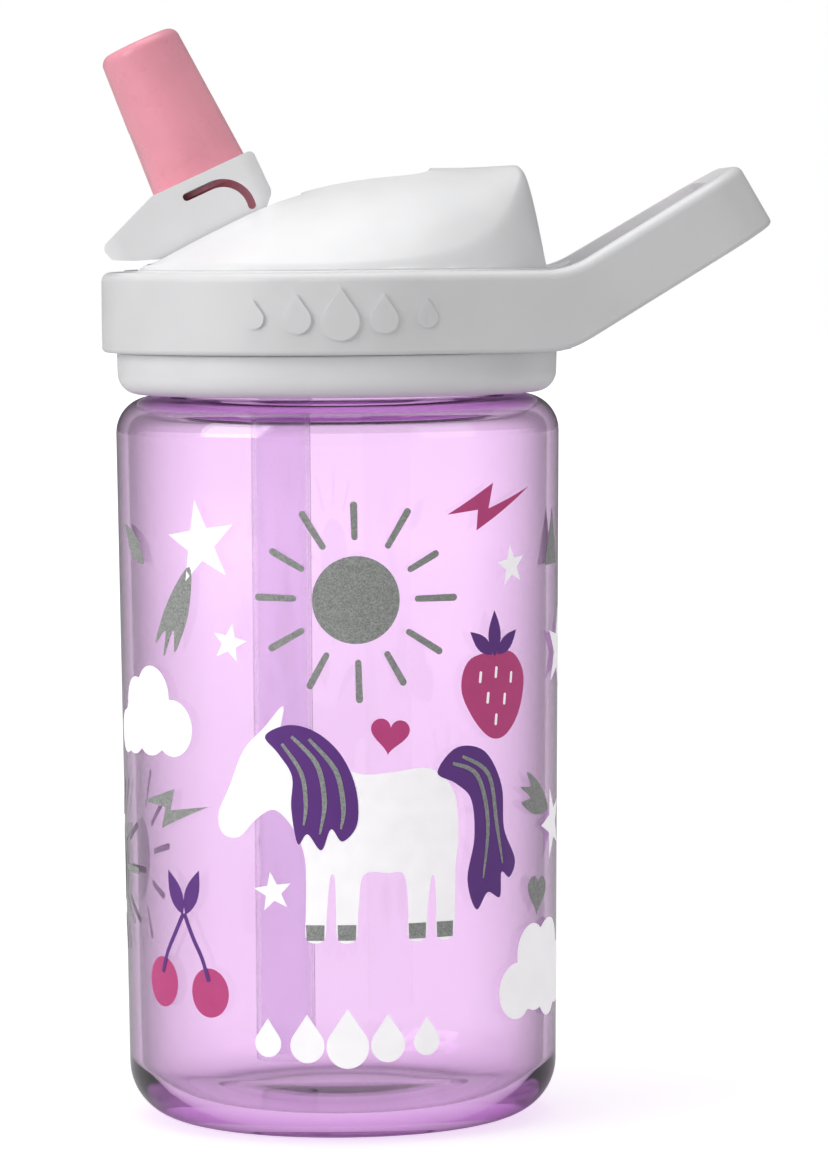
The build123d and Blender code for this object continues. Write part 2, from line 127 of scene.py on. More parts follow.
class DomeSizes(bpy.types.PropertyGroup):
    """The domed cover's sizes."""

    radius: FloatProperty(
        name="Radius", description="Radius of the dome's foot", default=DOME_HIGH.x, unit="LENGTH",
    )
    foot_height: FloatProperty(
        name="Foot height", description="Height of the dome's lowest face", default=DOME_LOW.z,
        unit="LENGTH",
    )
    squeeze: FloatProperty(
        name="Squeeze", description="How fast the crown narrows away from the middle",
        default=0.93,
    )
    crown: FloatProperty(
        name="Crown", description="Roundness of the crown across the dome", default=2.4,
    )
    back_high: FloatProperty(
        name="Back at the top", description="Where the back wall starts", default=0.0312,
        unit="LENGTH",
    )
    back_low: FloatProperty(
        name="Back at the foot", description="Where the back wall would meet the plate",
        default=0.0355, unit="LENGTH",
    )
    back_rise: FloatProperty(
        name="Back rise", description="Height of the back wall", default=0.017, unit="LENGTH",
    )
    wall_slope: FloatProperty(
        name="Wall slope", description="Steepness of the rim", default=6.0,
    )
    rounding: FloatProperty(
        name="Rounding", description="Height over which crown and walls blend",
        default=0.0075, unit="LENGTH",
    )
    wall: FloatProperty(
        name="Wall", description="Thickness of the dome", default=0.0019, unit="LENGTH",
    )
    channel_wall: FloatProperty(
        name="Channel wall", description="Thickness of the channel's sides", default=0.0016,
        unit="LENGTH",
    )
    foot_overlap: FloatProperty(
        name="Foot overlap", description="How far the hollow is cut through the open foot",
        default=0.001, unit="LENGTH",
    )
    channel_front: FloatProperty(
        name="Channel front", description="Half width at the spout", default=0.0122,
        unit="LENGTH",
    )
    channel_back: FloatProperty(
        name="Channel back", description="Half width for the bite valve", default=0.0104,
        unit="LENGTH",
    )
    channel_step: FloatProperty(
        name="Channel step", description="Where it narrows", default=-0.0055, unit="LENGTH",
    )
    channel_end: FloatProperty(
        name="Channel end", description="Where it ends", default=0.0156, unit="LENGTH",
    )
    segments: IntProperty(
        name="Segments", description="Facets round the dome", default=224, min=24,
    )


class PrintSizes(bpy.types.PropertyGroup):
    """How the printed pictures lie on the bottle."""

    ink: FloatProperty(
        name="Ink", description="Thickness of one layer of ink", default=0.00004,
        unit="LENGTH",
    )
    gap: FloatProperty(
        name="Gap", description="Gap below each layer", default=0.00002, unit="LENGTH",
    )
    strip: FloatProperty(
        name="Strip", description="Width of the strips that follow the curve", default=0.0012,
        unit="LENGTH",
    )


class Colours(bpy.types.PropertyGroup):
    """Colours of the plastics, silicones and inks."""

    lilac: FloatVectorProperty(
        name="Lilac plastic", description="What the clear plastic lets through",
        default=(0.72, 0.10, 0.80), subtype="COLOR",
    )
    lilac_density: FloatProperty(
        name="Lilac depth", description="How quickly the plastic takes colour, per metre",
        default=64.0,
    )
    cap: FloatVectorProperty(
        name="Cap white", description="Satin white plastic", default=(0.86, 0.86, 0.87),
        subtype="COLOR",
    )
    # Painted shade: the ring and loop are the same white plastic as the cap, given this darker copy of
    # its white so that they look shaded.
    ring: FloatVectorProperty(
        name="Ring white", description="Satin white plastic of the ring and loop",
        default=(0.77, 0.77, 0.78), subtype="COLOR",
    )
    valve: FloatVectorProperty(
        name="Bite valve pink", description="Translucent silicone",
        default=(0.92, 0.355, 0.445), subtype="COLOR",
    )
    seal: FloatVectorProperty(
        name="Seal", description="Milky silicone", default=(0.72, 0.72, 0.74),
        subtype="COLOR",
    )
    straw: FloatVectorProperty(
        name="Straw", description="Frosted plastic", default=(0.90, 0.85, 0.93),
        subtype="COLOR",
    )
    white_ink: FloatVectorProperty(
        name="White ink", description="Printing ink", default=(0.93, 0.91, 0.94),
        subtype="COLOR",
    )
    silver_ink: FloatVectorProperty(
        name="Silver ink", description="Glitter printing ink", default=(0.26, 0.27, 0.26),
        subtype="COLOR",
    )
    purple_ink: FloatVectorProperty(
        name="Purple ink", description="Printing ink", default=(0.115, 0.030, 0.225),
        subtype="COLOR",
    )
    magenta_ink: FloatVectorProperty(
        name="Magenta ink", description="Printing ink", default=(0.50, 0.053, 0.205),
        subtype="COLOR",
    )


class StudioSettings(bpy.types.PropertyGroup):
    """The camera, floor and lights."""

    camera_place: FloatVectorProperty(
        name="Camera", description="Where the camera stands", default=(-0.015, -0.9, 0.147),
        subtype="TRANSLATION",
    )
    camera_target: FloatVectorProperty(
        name="Target", description="The point it looks at", default=(0.0124, 0.0, 0.08725),
        subtype="TRANSLATION",
    )
    camera_roll: FloatProperty(
        name="Roll", description="Turn of the camera about its own line of sight",
        default=radians(-0.45), subtype="ANGLE",
    )
    lens: FloatProperty(
        name="Lens", description="Focal length for a 36 mm long side", default=167.8,
        unit="CAMERA",
    )
    sky: FloatProperty(name="Sky", description="Strength of the even light", default=0.44)
    mirrored_sky: FloatProperty(
        name="Mirrored sky", description="Brightness of the dim room that gloss mirrors",
        default=0.10,
    )
    far_glow: FloatProperty(
        name="Far glow", description="How far the distant floor is lit from below", default=1.0,
    )
    glow_from: FloatProperty(
        name="Glow from", description="Distance where the glow starts to rise", default=0.3,
        unit="LENGTH",
    )
    glow_to: FloatProperty(
        name="Glow to", description="Distance where the glow is full", default=1.6,
        unit="LENGTH",
    )
    floor_glow: FloatProperty(
        name="Floor glow", description="How far the floor is lit from below", default=0.60,
    )
    backdrop: FloatProperty(
        name="Backdrop", description="Brightness of the sky where it is seen", default=1.0,
    )
    key: FloatProperty(name="Key", description="Power of the main softbox in watts", default=9.0)


# ---------------------------------------------------------------- making meshes


def finish_piece(obj, material, body):
    """Give a new piece its material, slot and body."""
    obj.data.materials.append(material)
    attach(obj, body)
    return obj


def object_from_bmesh(name, bm, sharp_angle=radians(38)):
    """Turn a bmesh into a smooth-shaded object whose steep edges stay sharp."""
    bmesh.ops.recalc_face_normals(bm, faces=bm.faces[:])
    for face in bm.faces:
        face.smooth = True
    for edge in bm.edges:
        if len(edge.link_faces) == 2 and edge.calc_face_angle(0) > sharp_angle:
            edge.smooth = False
    mesh = bpy.data.meshes.new(name)
    bm.to_mesh(mesh)
    bm.free()
    obj = bpy.data.objects.new(name, mesh)
    bpy.context.scene.collection.objects.link(obj)
    return obj


def rounded_line(corners, step=radians(9)):
    """An open line of points through (x, y, rounding) corners."""
    points = [Vector(corners[0][:2])]
    for before, here, after in zip(corners, corners[1:], corners[2:]):
        corner = Vector(here[:2])
        to_before = (Vector(before[:2]) - corner).normalized()
        to_after = (Vector(after[:2]) - corner).normalized()
        opening = to_before.angle(to_after)
        if not here[2] or opening > pi - 1e-4:
            points.append(corner)
            continue
        run = here[2] / tan(opening / 2)
        middle = corner + (to_before + to_after).normalized() * (here[2] / sin(opening / 2))
        start = corner + to_before * run - middle
        end = corner + to_after * run - middle
        sweep = start.angle(end)
        count = max(2, round(sweep / step))
        for i in range(count + 1):
            share = i / count
            point = (start * sin((1 - share) * sweep) + end * sin(share * sweep)) / sin(sweep)
            points.append(middle + point)
    points.append(Vector(corners[-1][:2]))
    return points


def divide_line(points, longest):
    """The same line with no run longer than longest."""
    line = [points[0]]
    for a, b in zip(points, points[1:]):
        count = max(1, round((b - a).length / longest))
        line += [a.lerp(b, (i + 1) / count) for i in range(count)]
    return line


def turned_bmesh(line, segments, radius_at=None):
    """A body of revolution from (radius, height) points. Ends on the axis become poles."""
    bm = bmesh.new()
    rings = []
    for point in line:
        if point.x < 1e-7:
            rings.append([bm.verts.new((0, 0, point.y))])
            continue
        ring = []
        for i in range(segments):
            angle = 2 * pi * i / segments
            radius = radius_at(point.x, point.y, angle) if radius_at else point.x
            ring.append(bm.verts.new((radius * cos(angle), radius * sin(angle), point.y)))
        rings.append(ring)
    for low, high in zip(rings, rings[1:]):
        for i in range(segments):
            j = (i + 1) % segments
            corners = [low[i % len(low)], low[j % len(low)], high[j % len(high)], high[i % len(high)]]
            bm.faces.new(list(dict.fromkeys(corners)))
    return bm


def spline_point(knots, share):
    """A point of the smooth line through four knots, between the middle two."""
    a, b, c, d = knots
    return 0.5 * (2 * b + (c - a) * share + (2 * a - 5 * b + 4 * c - d) * share ** 2
                  + (3 * b - a - 3 * c + d) * share ** 3)


def soft_least(first, second, blend):
    """The lesser of two heights, with a rounded change from one to the other."""
    overlap = max(0.0, blend - abs(first - second)) / blend
    return min(first, second) - overlap ** 2 * blend / 4


def cut_away(name, solid, cutter):
    """A new piece: the solid less the cutter."""
    cut = solid.modifiers.new("cut", "BOOLEAN")
    cut.operation = "DIFFERENCE"
    cut.solver = "EXACT"
    cut.object = cutter
    bpy.context.view_layer.update()
    seen = solid.evaluated_get(bpy.context.evaluated_depsgraph_get())
    mesh = bpy.data.meshes.new_from_object(seen)
    mesh.name = name
    obj = bpy.data.objects.new(name, mesh)
    bpy.context.scene.collection.objects.link(obj)
    for spent in (solid, cutter):
        bpy.data.objects.remove(spent)
    mark_sharp(mesh, radians(38))
    return obj


def mark_sharp(mesh, angle):
    """Smooth faces everywhere, with the steep edges kept sharp."""
    bm = bmesh.new()
    bm.from_mesh(mesh)
    for face in bm.faces:
        face.smooth = True
    for edge in bm.edges:
        edge.smooth = len(edge.link_faces) != 2 or edge.calc_face_angle(0) < angle
    bm.to_mesh(mesh)
    bm.free()


# ---------------------------------------------------------------- flat outlines, in mm


def smooth_loop(points, steps=6):
    """A smooth closed outline through the points."""
    count = len(points)
    loop = []
    for i in range(count):
        p = [Vector(points[(i + k - 1) % count]) for k in range(4)]
        for k in range(steps):
            t = k / steps
            loop.append(
                0.5 * (2 * p[1] + (p[2] - p[0]) * t
                       + (2 * p[0] - 5 * p[1] + 4 * p[2] - p[3]) * t * t
                       + (3 * p[1] - p[0] - 3 * p[2] + p[3]) * t ** 3)
            )
    return loop


def placed(outline, x, z, turn=0.0, size=1.0):
    """An outline turned, scaled and moved."""
    c, s = cos(turn) * size, sin(turn) * size
    return [Vector((x + p[0] * c - p[1] * s, z + p[0] * s + p[1] * c)) for p in outline]


def disc_outline(radius, squash=1.0, count=48):
    """A round or oval outline."""
    return [Vector((radius * cos(2 * pi * i / count), squash * radius * sin(2 * pi * i / count)))
            for i in range(count)]


def star_outline(radius, inner=0.42, points=5):
    """A star with one point up."""
    outline = []
    for i in range(2 * points):
        r = radius if i % 2 == 0 else radius * inner
        angle = pi / 2 + pi * i / points
        outline.append(Vector((r * cos(angle), r * sin(angle))))
    return outline


def bar_outline(start, end, width0, width1):
    """A bar with round ends, wider or narrower at its far end."""
    a, b = Vector(start), Vector(end)
    along = (b - a).angle_signed(Vector((1, 0)))
    outline = []
    for centre, radius, first in ((a, width0 / 2, pi / 2), (b, width1 / 2, -pi / 2)):
        for i in range(9):
            angle = along + first + pi * i / 8
            outline.append(centre + Vector((cos(angle), sin(angle))) * radius)
    return outline


def stroke_outline(points, widths, steps=5):
    """A brush stroke through the points, with a width at each."""
    line, sizes = [], []
    for i in range(len(points) - 1):
        p = [Vector(points[max(0, min(len(points) - 1, i + k - 1))]) for k in range(4)]
        for k in range(steps + (i == len(points) - 2)):
            t = k / steps
            line.append(
                0.5 * (2 * p[1] + (p[2] - p[0]) * t
                       + (2 * p[0] - 5 * p[1] + 4 * p[2] - p[3]) * t * t
                       + (3 * p[1] - p[0] - 3 * p[2] + p[3]) * t ** 3)
            )
            sizes.append(widths[i] + (widths[i + 1] - widths[i]) * t)
    left, right = [], []
    for i, point in enumerate(line):
        run = (line[min(i + 1, len(line) - 1)] - line[max(i - 1, 0)]).normalized()
        side = Vector((-run.y, run.x)) * sizes[i] / 2
        left.append(point + side)
        right.append(point - side)
    return left + right[::-1]


def cloud_outline(circles, count=96):
    """The outer edge of overlapping circles, seen from the middle of the first."""
    centre = Vector(circles[0][:2])
    outline = []
    for i in range(count):
        way = Vector((cos(2 * pi * i / count), sin(2 * pi * i / count)))
        reach = 0.0
        for x, z, radius in circles:
            to_middle = Vector((x, z)) - centre
            along = to_middle.dot(way)
            inside = radius ** 2 - (to_middle.length_squared - along ** 2)
            if inside > 0:
                reach = max(reach, along + sqrt(inside))
        outline.append(centre + way * reach)
    return outline


def heart_outline(width, count=48):
    """A heart of the given width."""
    outline = []
    for i in range(count):
        t = 2 * pi * i / count
        x = 16 * sin(t) ** 3
        z = 13 * cos(t) - 5 * cos(2 * t) - 2 * cos(3 * t) - cos(4 * t)
        outline.append(Vector((x, z)) * width / 32)
    return outline


def drop_outline(height, count=28):
    """A drop with its point up."""
    bulb = 0.36 * height
    tip = height - bulb
    first = sqrt(1 - (bulb / tip) ** 2)
    start = atan2(bulb / tip, first)
    outline = [Vector((0, tip))]
    for i in range(count + 1):
        angle = start - (pi + 2 * start) * i / count
        outline.append(Vector((bulb * cos(angle), bulb * sin(angle))))
    return placed(outline, 0, bulb - height / 2)


def leaf_outline(start, end, width):
    """A pointed leaf."""
    a, b = Vector(start), Vector(end)
    run = b - a
    side = Vector((-run.y, run.x)).normalized() * width / 2
    outline = []
    for sign in (1, -1):
        for i in range(9):
            t = i / 8 if sign > 0 else 1 - i / 8
            if sign < 0 and i in (0, 8):
                continue
            outline.append(a + run * t + side * sign * sin(pi * t ** 0.85))
    return outline


# ---------------------------------------------------------------- ink on the bottle


def body_radius(height):
    """Radius of the bottle's outside at a height on its straight wall."""
    sizes = bpy.context.scene.bottle_sizes
    share = height / sizes.shoulder_height
    return sizes.base_radius + (sizes.top_radius - sizes.base_radius) * share


def wrap(point, lift):
    """Carry a flat (arc length, height) point in mm onto the bottle, lifted off its wall."""
    height = point[1] * MM
    angle = point[0] * MM / 0.036
    radius = body_radius(height) + lift
    return Vector((radius * sin(angle), -radius * cos(angle), height))


def printed_piece(name, outlines, layer, material):
    """One layer of ink on the bottle, as thin closed shells that follow its curve."""
    sizes = bpy.context.scene.print_sizes
    flat = bmesh.new()
    for outline in outlines:
        verts = [flat.verts.new((p[0], p[1], 0)) for p in outline]
        edges = [flat.edges.new((verts[i], verts[(i + 1) % len(verts)])) for i in range(len(verts))]
        bmesh.ops.triangle_fill(flat, edges=edges, use_beauty=True)
    strip = sizes.strip / MM
    low = min(v.co.x for v in flat.verts)
    high = max(v.co.x for v in flat.verts)
    cut = (int(low / strip) - 1) * strip
    while cut < high:
        if cut > low:
            bmesh.ops.bisect_plane(
                flat, geom=flat.verts[:] + flat.edges[:] + flat.faces[:], dist=1e-6,
                plane_co=(cut, 0, 0), plane_no=(1, 0, 0),
            )
        cut += strip
    below = sizes.gap + layer * (sizes.ink + sizes.gap)
    bm = bmesh.new()
    flat.verts.index_update()
    inner = [bm.verts.new(wrap(v.co, below)) for v in flat.verts]
    outer = [bm.verts.new(wrap(v.co, below + sizes.ink)) for v in flat.verts]
    for face in flat.faces:
        ids = [v.index for v in face.verts]
        bm.faces.new([outer[i] for i in ids])
        bm.faces.new([inner[i] for i in reversed(ids)])
    for edge in flat.edges:
        if len(edge.link_faces) == 1:
            a, b = (v.index for v in edge.verts)
            bm.faces.new([inner[a], inner[b], outer[b], outer[a]])
    flat.free()
    obj = object_from_bmesh(name, bm)
    return finish_piece(obj, material, "bottle")


# ---------------------------------------------------------------- materials


def new_material(name):
    """An empty node material and its Principled shader."""
    material = bpy.data.materials.new(name)
    material.use_nodes = True
    tree = material.node_tree
    tree.nodes.clear()
    output = tree.nodes.new("ShaderNodeOutputMaterial")
    shader = tree.nodes.new("ShaderNodeBsdfPrincipled")
    tree.links.new(shader.outputs[0], output.inputs["Surface"])
    return material, tree, shader, output


def noise_node(tree, scale, detail=3.0, roughness=0.5):
    """Noise in the piece's own coordinates, in metres."""
    place = tree.nodes.get("Place") or tree.nodes.new("ShaderNodeTexCoord")
    place.name = "Place"
    noise = tree.nodes.new("ShaderNodeTexNoise")
    noise.inputs["Scale"].default_value = scale
    noise.inputs["Detail"].default_value = detail
    noise.inputs["Roughness"].default_value = roughness
    tree.links.new(place.outputs["Object"], noise.inputs["Vector"])
    return noise.outputs["Fac"]


def ranged(tree, value, low, high, from_low=0.35, from_high=0.65):
    """A value carried to another range."""
    node = tree.nodes.new("ShaderNodeMapRange")
    node.inputs["From Min"].default_value = from_low
    node.inputs["From Max"].default_value = from_high
    node.inputs["To Min"].default_value = low
    node.inputs["To Max"].default_value = high
    tree.links.new(value, node.inputs["Value"])
    return node.outputs["Result"]


def mixed(tree, value, first, second):
    """A colour between two, by a value."""
    node = tree.nodes.new("ShaderNodeMix")
    node.data_type = "RGBA"
    tree.links.new(value, node.inputs["Factor"])
    for socket in node.inputs:
        if socket.type == "RGBA":
            socket.default_value = (*(first if socket.name == "A" else second), 1)
    return [s for s in node.outputs if s.type == "RGBA"][0]


def either(tree, first, second):
    """1 where either of two yes-or-no values is 1."""
    node = tree.nodes.new("ShaderNodeMath")
    node.operation = "MAXIMUM"
    tree.links.new(first, node.inputs[0])
    tree.links.new(second, node.inputs[1])
    return node.outputs[0]


def seen_directly(tree, rays):
    """1 for what the eye sees, straight or through the clear bottle."""
    through = tree.nodes.new("ShaderNodeMath")
    through.operation = "GREATER_THAN"
    through.inputs[1].default_value = 0.5
    tree.links.new(rays.outputs["Transmission Depth"], through.inputs[0])
    return either(tree, rays.outputs["Is Camera Ray"], through.outputs[0])


def bumped(tree, shader, value, strength, distance):
    """A fine relief."""
    node = tree.nodes.new("ShaderNodeBump")
    node.inputs["Strength"].default_value = strength
    node.inputs["Distance"].default_value = distance
    tree.links.new(value, node.inputs["Height"])
    tree.links.new(node.outputs["Normal"], shader.inputs["Normal"])


def shade(colour, factor):
    """A colour made darker or lighter."""
    return tuple(min(1.0, c * factor) for c in colour)


def moulded_plastic(name, colour, rough=(0.30, 0.42), grain=1600.0, relief=0.06):
    """Satin moulded plastic: faint flow mottling, varying gloss and a fine spark-eroded grain."""
    material, tree, shader, _ = new_material(name)
    flow = noise_node(tree, 55.0, 4.0)
    tree.links.new(
        mixed(tree, ranged(tree, flow, 0, 1), shade(colour, 0.97), shade(colour, 1.02)),
        shader.inputs["Base Color"],
    )
    gloss = noise_node(tree, 140.0, 3.0)
    tree.links.new(ranged(tree, gloss, *rough), shader.inputs["Roughness"])
    bumped(tree, shader, noise_node(tree, grain, 2.0), relief, 0.00008)
    shader.inputs["IOR"].default_value = 1.49
    shader.inputs["Subsurface Weight"].default_value = 0.12
    shader.inputs["Subsurface Radius"].default_value = (0.0016, 0.0015, 0.0014)
    shader.inputs["Subsurface Scale"].default_value = 1.0
    return material


def clear_plastic(name, colour, density):
    """Clear tinted plastic that deepens in colour through its thickness, with painted shade on its base
    colour that darkens its edges towards the silhouette.
    """
    material, tree, shader, output = new_material(name)
    # Painted shade: the base colour goes dark where the surface turns away from the eye, standing in for
    # the dark outlines of the clear edges. The real deepening of colour through thick plastic comes from
    # the volume absorption below.
    facing = tree.nodes.new("ShaderNodeLayerWeight")
    facing.inputs["Blend"].default_value = 0.5
    edge = tree.nodes.new("ShaderNodeValToRGB")
    tree.links.new(facing.outputs["Facing"], edge.inputs["Fac"])
    tree.links.new(edge.outputs["Color"], shader.inputs["Base Color"])
    edge_shade_stops = ((0.2, 1.0), (0.364, 0.86), (0.495, 0.70), (0.583, 0.54), (0.70, 0.36),
             (0.741, 0.26), (0.883, 0.07), (1.0, 0.02))
    for i, (at, level) in enumerate(edge_shade_stops):
        stop = edge.color_ramp.elements[i] if i < 2 else edge.color_ramp.elements.new(at)
        stop.position = at
        stop.color = (level * 0.93, level * 0.83, level * 0.94, 1)
    shader.inputs["Transmission Weight"].default_value = 1.0
    shader.inputs["IOR"].default_value = 1.54
    wear = noise_node(tree, 90.0, 5.0, 0.6)
    tree.links.new(ranged(tree, wear, 0.008, 0.035), shader.inputs["Roughness"])
    bumped(tree, shader, noise_node(tree, 38.0, 1.0), 0.05, 0.0004)
    rays = tree.nodes.new("ShaderNodeLightPath")
    lit = either(tree, rays.outputs["Is Shadow Ray"], rays.outputs["Is Diffuse Ray"])
    window = tree.nodes.new("ShaderNodeBsdfTransparent")
    window.inputs["Color"].default_value = LAMP_TINT
    glass = tree.nodes.new("ShaderNodeMixShader")
    tree.links.new(lit, glass.inputs["Fac"])
    tree.links.new(shader.outputs[0], glass.inputs[1])
    tree.links.new(window.outputs[0], glass.inputs[2])
    tree.links.new(glass.outputs[0], output.inputs["Surface"])
    depth = tree.nodes.new("ShaderNodeVolumeAbsorption")
    depth.inputs["Color"].default_value = (*colour, 1)
    depth.inputs["Density"].default_value = density
    tree.links.new(depth.outputs[0], output.inputs["Volume"])
    return material


def frosted_plastic(name, colour):
    """Thin frosted plastic that blurs what is behind it, with faint drawing lines."""
    material, tree, shader, _ = new_material(name)
    flow = noise_node(tree, 120.0, 3.0)
    tree.links.new(
        mixed(tree, ranged(tree, flow, 0, 1), shade(colour, 0.98), shade(colour, 1.02)),
        shader.inputs["Base Color"],
    )
    tree.links.new(ranged(tree, flow, 0.10, 0.18), shader.inputs["Roughness"])
    shader.inputs["Transmission Weight"].default_value = 1.0
    shader.inputs["IOR"].default_value = 1.35
    return material


def soft_silicone(name, colour, clear, rough=(0.26, 0.36)):
    """Translucent moulded silicone with a soft sheen."""
    material, tree, shader, output = new_material(name)
    rays = tree.nodes.new("ShaderNodeLightPath")
    window = tree.nodes.new("ShaderNodeBsdfTransparent")
    window.inputs["Color"].default_value = (*shade(colour, 0.9), 1)
    soft = tree.nodes.new("ShaderNodeMixShader")
    tree.links.new(rays.outputs["Is Shadow Ray"], soft.inputs["Fac"])
    tree.links.new(shader.outputs[0], soft.inputs[1])
    tree.links.new(window.outputs[0], soft.inputs[2])
    tree.links.new(soft.outputs[0], output.inputs["Surface"])
    cloudy = noise_node(tree, 70.0, 3.0)
    tree.links.new(
        mixed(tree, ranged(tree, cloudy, 0, 1), shade(colour, 0.94), shade(colour, 1.04)),
        shader.inputs["Base Color"],
    )
    tree.links.new(
        ranged(tree, noise_node(tree, 260.0, 3.0), *rough), shader.inputs["Roughness"]
    )
    bumped(tree, shader, noise_node(tree, 160.0, 1.0), 0.03, 0.0001)
    shader.inputs["IOR"].default_value = 1.41
    shader.inputs["Transmission Weight"].default_value = clear
    shader.inputs["Sheen Weight"].default_value = 0.15
    return material


def flat_ink(name, colour, glow=0.0):
    """Screen-printed ink: even, a little orange-peel, slightly glossy, with painted light: a glow of its
    own colour that brightens it.
    """
    material, tree, shader, _ = new_material(name)
    # Painted light: the ink glows in its own colour, as though lit, though it is no lamp.
    shader.inputs["Emission Color"].default_value = (*colour, 1)
    shader.inputs["Emission Strength"].default_value = glow
    patchy = noise_node(tree, 320.0, 4.0)
    tree.links.new(
        mixed(tree, ranged(tree, patchy, 0, 1), shade(colour, 0.95), shade(colour, 1.03)),
        shader.inputs["Base Color"],
    )
    tree.links.new(
        ranged(tree, noise_node(tree, 500.0, 2.0), 0.30, 0.42), shader.inputs["Roughness"]
    )
    bumped(tree, shader, noise_node(tree, 1500.0, 2.0), 0.08, 0.00005)
    return material


def glitter_ink(name, colour):
    """Silver ink full of tiny flakes, each a little lighter or darker and tilted its own way."""
    material, tree, shader, _ = new_material(name)
    place = tree.nodes.new("ShaderNodeTexCoord")
    flakes = tree.nodes.new("ShaderNodeTexVoronoi")
    flakes.inputs["Scale"].default_value = 5200.0
    tree.links.new(place.outputs["Object"], flakes.inputs["Vector"])
    parts = tree.nodes.new("ShaderNodeSeparateColor")
    tree.links.new(flakes.outputs["Color"], parts.inputs["Color"])
    tree.links.new(
        mixed(tree, ranged(tree, parts.outputs["Red"], 0, 1, 0.2, 1.0),
              shade(colour, 1.05), shade(colour, 1.70)),
        shader.inputs["Base Color"],
    )
    tree.links.new(
        ranged(tree, parts.outputs["Green"], 0.25, 0.6, 0.0, 1.0), shader.inputs["Roughness"]
    )
    tree.links.new(
        ranged(tree, parts.outputs["Blue"], 0.0, 0.25, 0.5, 1.0), shader.inputs["Metallic"]
    )
    bumped(tree, shader, parts.outputs["Green"], 0.25, 0.00005)
    return material


def material_for(slot_name):
    """The material of a slot, made once."""
    if slot_name in bpy.data.materials and bpy.data.materials[slot_name].get("made_here"):
        return bpy.data.materials[slot_name]
    old = bpy.data.materials.get(slot_name)
    if old:
        old.name = slot_name + "_packed"
    colours = bpy.context.scene.bottle_colours
    makers = {
        "bottle_plastic": lambda n: clear_plastic(n, colours.lilac, colours.lilac_density),
        "cap_plastic": lambda n: moulded_plastic(n, colours.cap),
        # The ring and loop take the darker copy of the cap's white: painted shade.
        "ring_plastic": lambda n: moulded_plastic(n, colours.ring, (0.34, 0.48), 1200.0, 0.1),
        "stem_plastic": lambda n: moulded_plastic(n, colours.cap, (0.42, 0.55), 900.0, 0.1),
        "straw_plastic": lambda n: frosted_plastic(n, colours.straw),
        "valve_silicone": lambda n: soft_silicone(n, colours.valve, 0.0),
        "seal_silicone": lambda n: soft_silicone(n, colours.seal, 0.3),
        # The last number given to each ink is its glow strength: painted light that brightens the ink.
        "ink_white": lambda n: flat_ink(n, colours.white_ink, 0.32),
        "ink_silver": lambda n: glitter_ink(n, colours.silver_ink),
        "ink_purple": lambda n: flat_ink(n, colours.purple_ink, 0.15),
        "ink_magenta": lambda n: flat_ink(n, colours.magenta_ink, 0.2),
    }
    material = makers[slot_name](slot_name)
    material["made_here"] = True
    return material


def dress_node(node, slot_name):
    """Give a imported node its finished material."""
    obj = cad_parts[node]
    material = material_for(slot_name)
    for slot in obj.material_slots:
        slot.material = material
    return obj


# ---------------------------------------------------------------- operators


